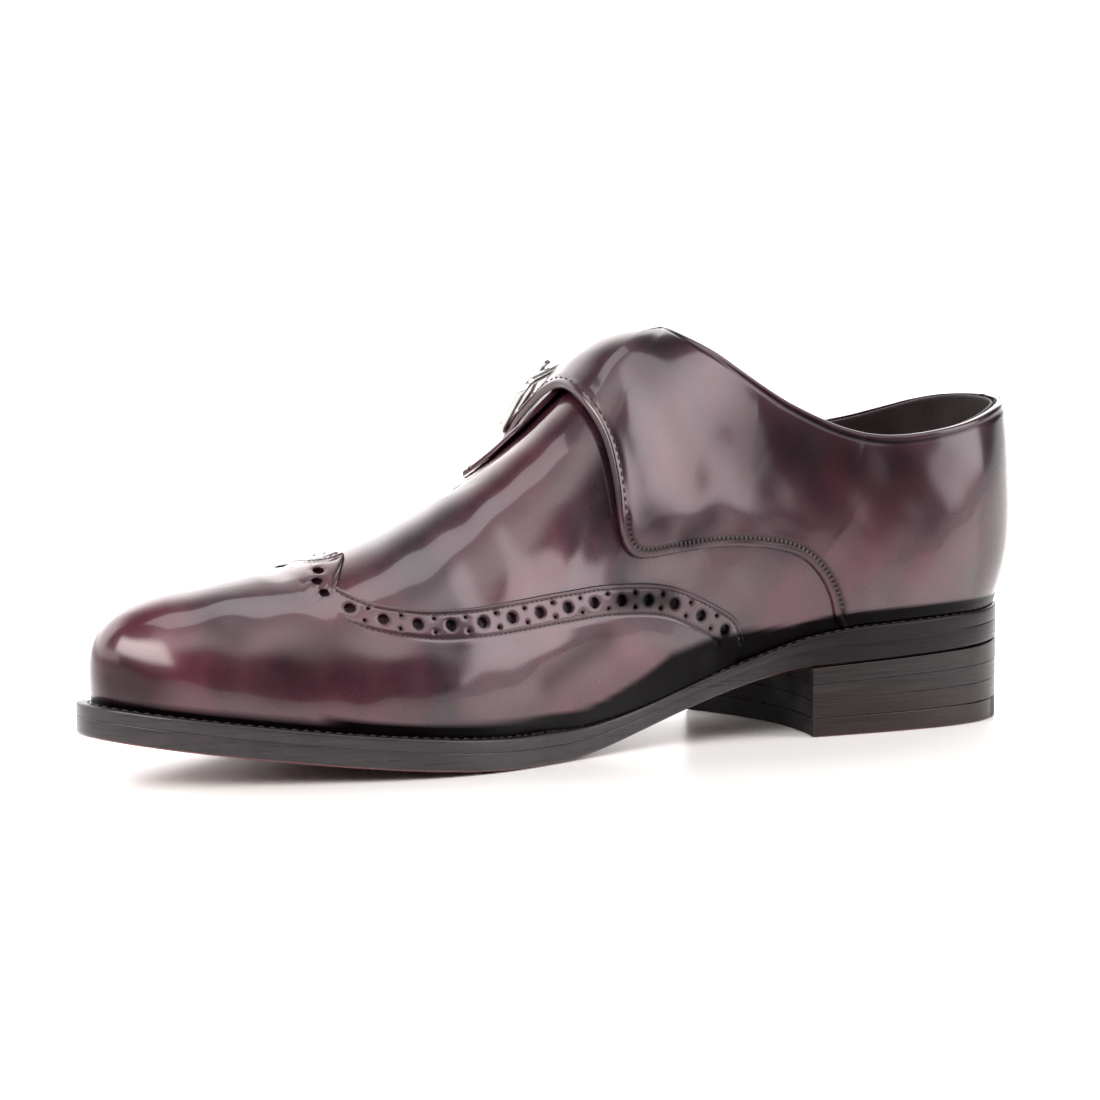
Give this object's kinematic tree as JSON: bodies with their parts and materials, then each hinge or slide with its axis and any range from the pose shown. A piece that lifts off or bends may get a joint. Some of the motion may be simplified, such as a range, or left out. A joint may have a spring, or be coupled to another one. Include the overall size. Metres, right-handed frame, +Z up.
{
  "type": "monk strap shoe",
  "caption": "Low right shoe in burgundy leather with a perforated wing cap and a quarter strap that crosses the instep to a silver buckle, on a welted leather sole with a stacked heel.",
  "frame": {"origin": "centre of the bounding box in plan, on the floor plane under the sole", "axes": "+X from heel to toe, +Y to the medial (inner) side, +Z up"},
  "size_m": [0.3118, 0.0968, 0.1214],
  "materials": {
    "burgundy_leather": "polished burgundy calf with a darker patina",
    "dark_edge_leather": "near-black waxed edge, semi-gloss",
    "oxblood_sole_leather": "glossy painted oxblood sole leather",
    "dark_lining": "matt dark lining leather over cork",
    "grey_rubber": "matt grey rubber",
    "polished_silver": "polished silver-coloured metal"
  },
  "bodies": {
    "root": {"outsole": "dark_edge_leather", "welt": "dark_edge_leather", "heel_lift_1": "dark_edge_leather", "heel_lift_2": "dark_edge_leather", "heel_lift_3": "dark_edge_leather", "heel_top_leather": "oxblood_sole_leather", "heel_top_rubber": "grey_rubber", "insole": "dark_lining", "upper": "burgundy_leather", "wing_cap": "burgundy_leather", "quarter_strap": "burgundy_leather", "quarter_lateral": "burgundy_leather", "heel_tab": "burgundy_leather", "buckle_frame": "polished_silver", "buckle_pin": "polished_silver", "buckle_chape": "burgundy_leather"}
  },
  "joints": []
}
